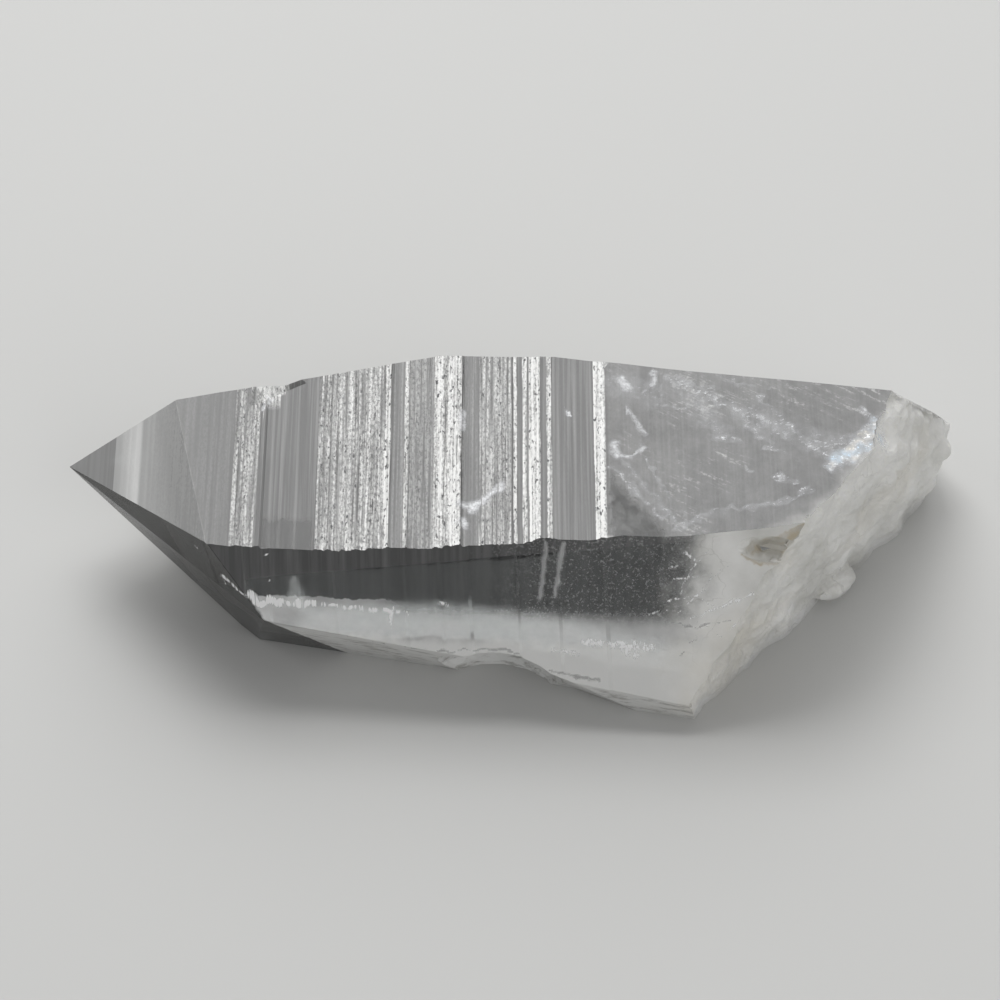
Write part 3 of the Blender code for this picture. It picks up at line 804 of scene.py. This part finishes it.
def rear_bloom_and_shade():
    """Frosted growth lines on the rear faces, on a film that is thick and grey low down, as painted shade
    seen through the broad face, and thin near the top edge.
    """
    made, tree, shader = new_material("rear bloom and painted shade")
    plan = plan_place(tree, (1.0, 1.0, 1.0))
    place = axes(tree, warped(tree, plan, 0.5, 1.6))
    streak = ramp(tree, scaled_noise(tree, (2300.0, 36.0, 36.0), 5.0, 0.65), [(0.36, 0.0), (0.68, 1.0)])
    thin = add_node(tree, "ShaderNodeMapRange", interpolation_type="SMOOTHSTEP")
    rising = maths(tree, "MULTIPLY_ADD", maths(tree, "MAXIMUM", place["X"], -26.0), 0.09, 2.3)
    join(tree, maths(tree, "SUBTRACT", place["Z"], rising), thin.inputs["Value"])
    thin.inputs["From Min"].default_value = THIN_FROM
    thin.inputs["From Max"].default_value = THIN_TO
    thin = thin.outputs["Result"]
    film = maths(tree, "MAXIMUM", blend(tree, thin, REAR_LOW, REAR_HIGH),
                 maths(tree, "MULTIPLY", streak, REAR_LINE))
    join(tree, film, shader.inputs["Alpha"])
    cloud = ramp(tree, scaled_noise(tree, (110.0, 110.0, 110.0), 5.0), [(0.35, 0.0), (0.65, 1.0)])
    low = blend(tree, streak, blend(tree, cloud, LOW_SHADE_DARK, LOW_SHADE_PALE), LOW_LINE)
    high = blend(tree, streak, blend(tree, cloud, HIGH_DARK, HIGH_PALE), HIGH_LINE)
    join(tree, blend(tree, thin, low, high), shader.inputs["Base Color"])
    shader.inputs["Roughness"].default_value = 0.5
    join(tree, bump(tree, streak, 0.3, 0.00006), shader.inputs["Normal"])
    return made


def pale_floor():
    made, _, shader = new_material("pale floor")
    shader.inputs["Base Color"].default_value = (0.53, 0.53, 0.52, 1.0)
    shader.inputs["Roughness"].default_value = 0.6
    return made


# The crystal

def line_relief():
    """A slab whose top is the broad face with its fine growth lines."""
    deselect_all()
    bpy.ops.mesh.primitive_grid_add(x_subdivisions=COLUMNS, y_subdivisions=ROWS, size=1.0)
    thing = bpy.context.active_object
    thing.name = "growth line relief"
    for vertex in thing.data.vertices:
        number = round((vertex.co.x + 0.5) * COLUMNS)
        along = column_place(number)
        across = (vertex.co.y + 0.5) * RELIEF_WIDTH - RELIEF_START
        wave = noise.noise(Vector((along * 0.9, across * 0.05, 3.0)))
        gap = max(0.0, noise.noise(Vector((along * 1.7, across * 0.16, 9.0))) + 0.45)
        cut = 0.5 * CUTS[number] + 0.9 * growth_line(along, across)
        depth = line_depth(along) * 2.2 * cut * min(1.0, gap + 0.25)
        height = step_height(along) - depth - 0.03 * (wave + 1.0)
        vertex.co = (along * MM, across * MM, (height - 0.01) * MM)
    take(thing)
    bpy.ops.object.mode_set(mode="EDIT")
    bpy.ops.mesh.select_all(action="SELECT")
    bpy.ops.mesh.extrude_region_move(TRANSFORM_OT_translate={"value": (0.0, 0.0, -RELIEF_DEPTH)})
    bpy.ops.object.mode_set(mode="OBJECT")
    lowest = min(vertex.co.z for vertex in thing.data.vertices)
    for vertex in thing.data.vertices:
        if vertex.co.z < -0.5 * RELIEF_DEPTH:
            vertex.co.z = lowest
    bpy.ops.object.mode_set(mode="EDIT")
    bpy.ops.mesh.select_all(action="SELECT")
    bpy.ops.mesh.normals_make_consistent(inside=False)
    bpy.ops.object.mode_set(mode="OBJECT")
    start = FRONT_LEFT - ALONG * ((FRONT_LEFT.x + CENTRE.x) / ALONG.x)
    turned = Matrix.Identity(4)
    turned.col[0] = (*ALONG, 0.0)
    turned.col[1] = (*ACROSS, 0.0)
    turned.col[2] = (*BROAD, 0.0)
    turned.col[3] = (*start, 1.0)
    thing.data.transform(turned)
    return thing


# How near a face's normal has to be to a flat face's to lie in it, how far the scoop and the chip
# reach, and the largest face on the broken end, in square metres
IN_PLANE = 0.985
SCOOP_REACH = 5.6 * MM
CHIP_REACH = 6.5 * MM
LARGEST_LUMP = 6e-6


def is_wall(face):
    """True on the broken end, which is none of the flat faces."""
    middle = face.calc_center_median()
    if middle.x > ROOT_END and face.normal.z > -0.9:
        return True
    if middle.x > ROOT_END - 2.6 * MM and middle.z > 0.024 and face.normal.dot(BROAD) < IN_PLANE:
        return True
    if (middle - WALL_FRONT).dot(WALL) < -4.5 * MM or middle.x < 0.018:
        return False
    flat = (BROAD, FRONT, Vector((0.0, 0.0, -1.0)))
    if any(face.normal.dot(plane) > IN_PLANE for plane in flat):
        return False
    return face.calc_area() < LARGEST_LUMP


def is_scoop(face):
    """True on the hollow at the right end of the front edge."""
    middle = face.calc_center_median()
    if (middle - SCOOP).length > SCOOP_REACH or middle.x > SCOOP.x + 5.4 * MM:
        return False
    return not any(face.normal.dot(plane) > IN_PLANE for plane in (BROAD, FRONT))


def crystal_body():
    """The crystal: the solid with a lumpy broken end, cut by the relief of growth lines."""
    source = bpy.data.objects["crystal"]
    thing = bpy.data.objects.new("crystal_body", source.data.copy())
    scene.collection.objects.link(thing)
    thing.data.materials.clear()
    thing.data.materials.append(clear_quartz())
    thing.data.materials.append(milky_quartz())
    thing.data.materials.append(stained_quartz())
    mesh = bmesh.new()
    mesh.from_mesh(thing.data)
    bmesh.ops.remove_doubles(mesh, verts=mesh.verts, dist=1e-6)
    mesh.normal_update()
    wall = [face for face in mesh.faces if is_wall(face)]
    for face in mesh.faces:
        face.material_index = 0
    for face in wall:
        face.material_index = 1
    # the broken end gets smaller lumps and splinters, pressed in from the coarse ones
    edges = {edge for face in wall for edge in face.edges}
    inner = [edge for edge in edges if all(face.material_index for face in edge.link_faces)]
    bmesh.ops.subdivide_edges(mesh, edges=inner, cuts=3, use_grid_fill=True)
    bmesh.ops.triangulate(mesh, faces=[face for face in mesh.faces if face.material_index])
    loose = {vertex for face in mesh.faces if face.material_index for vertex in face.verts
             if all(other.material_index for other in vertex.link_faces)}
    mesh.normal_update()
    for _ in range(4):
        bmesh.ops.smooth_vert(mesh, verts=list(loose), factor=0.5, use_axis_x=True,
                              use_axis_y=True, use_axis_z=True)
    mesh.normal_update()
    for vertex in loose:
        place = vertex.co / MM
        cell = noise.voronoi(place * 0.22)[0]
        lump = cell[1] - cell[0]
        splinter = noise.fractal(place * 0.55, 0.7, 2.2, 4)
        push = -0.55 + 0.9 * min(lump, 0.6) + 0.16 * splinter
        vertex.co += vertex.normal * min(0.0, push) * MM
    for face in mesh.faces:
        if is_scoop(face):
            face.material_index = 2
    mesh.to_mesh(thing.data)
    mesh.free()
    thing.data.shade_flat()
    relief = line_relief()
    cut = thing.modifiers.new("growth lines", "BOOLEAN")
    cut.operation = "INTERSECT"
    cut.solver = "EXACT"
    cut.object = relief
    apply_all(thing)
    bpy.data.objects.remove(relief, do_unlink=True)
    return thing


body = crystal_body()
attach(body, "root")
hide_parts("crystal")


# Films on its faces

FILM_LIFT = 0.012 * MM
NET_LIFT = 0.03 * MM
NET_CELL = 0.3


def skin(name, finish, wanted, lift=None, cuts=0):
    """A film over some faces of the crystal, a hundredth of a millimetre off them."""
    thing = bpy.data.objects.new(name, body.data.copy())
    scene.collection.objects.link(thing)
    mesh = bmesh.new()
    mesh.from_mesh(thing.data)
    mesh.normal_update()
    other = [face for face in mesh.faces if face.material_index or not wanted(face)]
    bmesh.ops.delete(mesh, geom=other, context="FACES")
    if cuts:
        long = [edge for edge in mesh.edges if edge.calc_length() > 2.5 * MM
                and abs(edge.verts[0].co.x - edge.verts[1].co.x) > 1.0 * MM]
        bmesh.ops.subdivide_edges(mesh, edges=long, cuts=cuts, use_grid_fill=True)
        bmesh.ops.triangulate(mesh, faces=mesh.faces)
    frost = mesh.verts.layers.float.new("frost")
    mesh.normal_update()
    for vertex in mesh.verts:
        vertex[frost] = frost_at((vertex.co.x + CENTRE.x) / MM, (vertex.co.y + CENTRE.y) / MM)
        vertex.co += (lift or vertex.normal) * FILM_LIFT
        vertex.co.z = max(0.0, vertex.co.z)
    mesh.to_mesh(thing.data)
    mesh.free()
    thing.data.materials.clear()
    thing.data.materials.append(finish)
    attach(thing, "root")


def is_broad(face):
    middle = face.calc_center_median()
    if (middle - CHIP).length < CHIP_REACH and face.normal.z > -0.2:
        return True
    flat = face.normal.dot(BROAD) > 0.55 or face.normal.dot(POINT_FACE) > 0.97
    return flat and middle.z > 0.012


def is_front(face):
    return not is_broad(face) and face.normal.dot(toward) > 0.02 and face.normal.z > -0.97


def is_rear(face):
    return not is_broad(face) and not is_front(face) and face.normal.z > -0.97


# The broad face's film: frosted growth lines over a painted sheen
skin("growth_lines", growth_frost_and_sheen(), is_broad, BROAD, cuts=12)


def mark_strength(lines, place, reach):
    """How strong the strongest of some marks is at a place on the plan of their face."""
    ragged = place + Vector([reach * noise.noise(Vector((place.x * 0.7, place.y * 0.7, seed)))
                             for seed in (2.0, 8.0)])
    strongest = 0.0
    for route, width, strength in lines:
        for start, end in zip(route, route[1:]):
            start, line = Vector(start), Vector(end) - Vector(start)
            share = min(1.0, max(0.0, (ragged - start).dot(line) / line.length_squared))
            far = (ragged - start - line * share).length / width
            if far < 1.0:
                strongest = max(strongest, strength * (1.0 - far * far * (3.0 - 2.0 * far)))
    return strongest


def net(name, finish, corner, side_way, up_way, facing, spans, plan_axes, layers):
    """A fine net laid on one face wherever it has marks, which carries how strong each mark is."""
    deselect_all()
    bpy.ops.mesh.primitive_grid_add(x_subdivisions=round(spans[0] / NET_CELL),
                                    y_subdivisions=round(spans[1] / NET_CELL), size=1.0)
    thing = bpy.context.active_object
    thing.name = name
    solid = BVHTree.FromObject(body, bpy.context.evaluated_depsgraph_get())
    mesh = bmesh.new()
    mesh.from_mesh(thing.data)
    carried = [mesh.verts.layers.float.new(label) for label, lines, reach in layers]
    bare = []
    for vertex in mesh.verts:
        above = corner + side_way * (vertex.co.x + 0.5) * spans[0] * MM + facing * 4.0 * MM
        above += up_way * (vertex.co.y + 0.5) * spans[1] * MM
        landed = solid.ray_cast(above, -facing, 9.0 * MM)[0]
        if landed is None:
            bare.append(vertex)
            continue
        vertex.co = landed + facing * NET_LIFT
        whole = (landed + CENTRE) / MM
        plan = Vector([whole[axis] for axis in plan_axes])
        for layer, (label, lines, reach) in zip(carried, layers):
            vertex[layer] = mark_strength(lines, plan, reach)
        if max(vertex[layer] for layer in carried) <= 0.0:
            bare.append(vertex)
    bmesh.ops.delete(mesh, geom=bare, context="VERTS")
    mesh.normal_update()
    steep = [face for face in mesh.faces if face.normal.dot(facing) < 0.3]
    bmesh.ops.delete(mesh, geom=steep, context="FACES")
    mesh.to_mesh(thing.data)
    mesh.free()
    thing.data.materials.append(finish)
    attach(thing, "root")


net("bruises", bruises_veils_and_glints(), at(-37.0, 0.0, 24.0) - ACROSS * 4.0 * MM, ALONG, ACROSS, BROAD,
    (96.0, 34.0), (0, 1), [("bruise", FROST_MARKS, 0.5), ("veil", VEIL_MARKS, 1.2),
                           ("rainbow", RAINBOW_MARKS, 1.2)])
UPWARD = FRONT.cross(ALONG).normalized()
net("front_marks", front_marks(), FRONT_LEFT - ALONG * 6.0 * MM - UPWARD * 24.0 * MM, ALONG, UPWARD, FRONT,
    (82.0, 26.0), (0, 2), [("white", FRONT_MARKS, 0.4), ("fringe", FRINGE_MARKS, 0.7),
                           ("crack", CRACK_MARKS, 0.6), ("streak", STREAK_MARKS, 0.3)])
skin("front_veil_and_shade", front_bloom_and_shade(), is_front)
skin("rear_growth_lines", rear_bloom_and_shade(), is_rear)


# Stage and light

deselect_all()
bpy.ops.mesh.primitive_plane_add(size=6.0, location=(0.0, 0.0, -0.00002))
floor = bpy.context.active_object
floor.name = "floor"
floor.data.materials.append(pale_floor())


LIGHT_AIM = Vector((0.0, 0.0, 0.015))


def soft_light(name, place, size, power, seen=True):
    """A square softbox that looks at the crystal; seen says whether the crystal mirrors it."""
    data = bpy.data.lights.new(name, "AREA")
    data.shape = "RECTANGLE"
    data.size = size
    data.size_y = size
    data.energy = power
    lamp = bpy.data.objects.new(name, data)
    scene.collection.objects.link(lamp)
    lamp.location = place
    lamp.rotation_euler = (LIGHT_AIM - Vector(place)).to_track_quat("-Z", "Y").to_euler()
    lamp.visible_glossy = seen
    lamp.visible_transmission = seen


soft_light("key", (-0.15, 0.5, 0.9), 0.5, 4.5, seen=False)
soft_light("front fill", (0.5, -0.8, 0.7), 0.8, 3.5, seen=False)
soft_light("broad softbox", (0.0, 0.75, 0.85), 1.3, 9.0)
soft_light("side softbox", (-0.9, 0.1, 0.5), 0.6, 1.0)

world = bpy.data.worlds.new("studio")
scene.world = world
world.use_nodes = True
surround = world.node_tree.nodes["Background"]
surround.inputs["Color"].default_value = (0.82, 0.825, 0.83, 1.0)
surround.inputs["Strength"].default_value = 0.30
scene.cycles.caustics_refractive = False
scene.cycles.caustics_reflective = False
scene.cycles.max_bounces = 6
scene.cycles.transmission_bounces = 6
scene.cycles.transparent_max_bounces = 8
scene.view_settings.view_transform = "Standard"
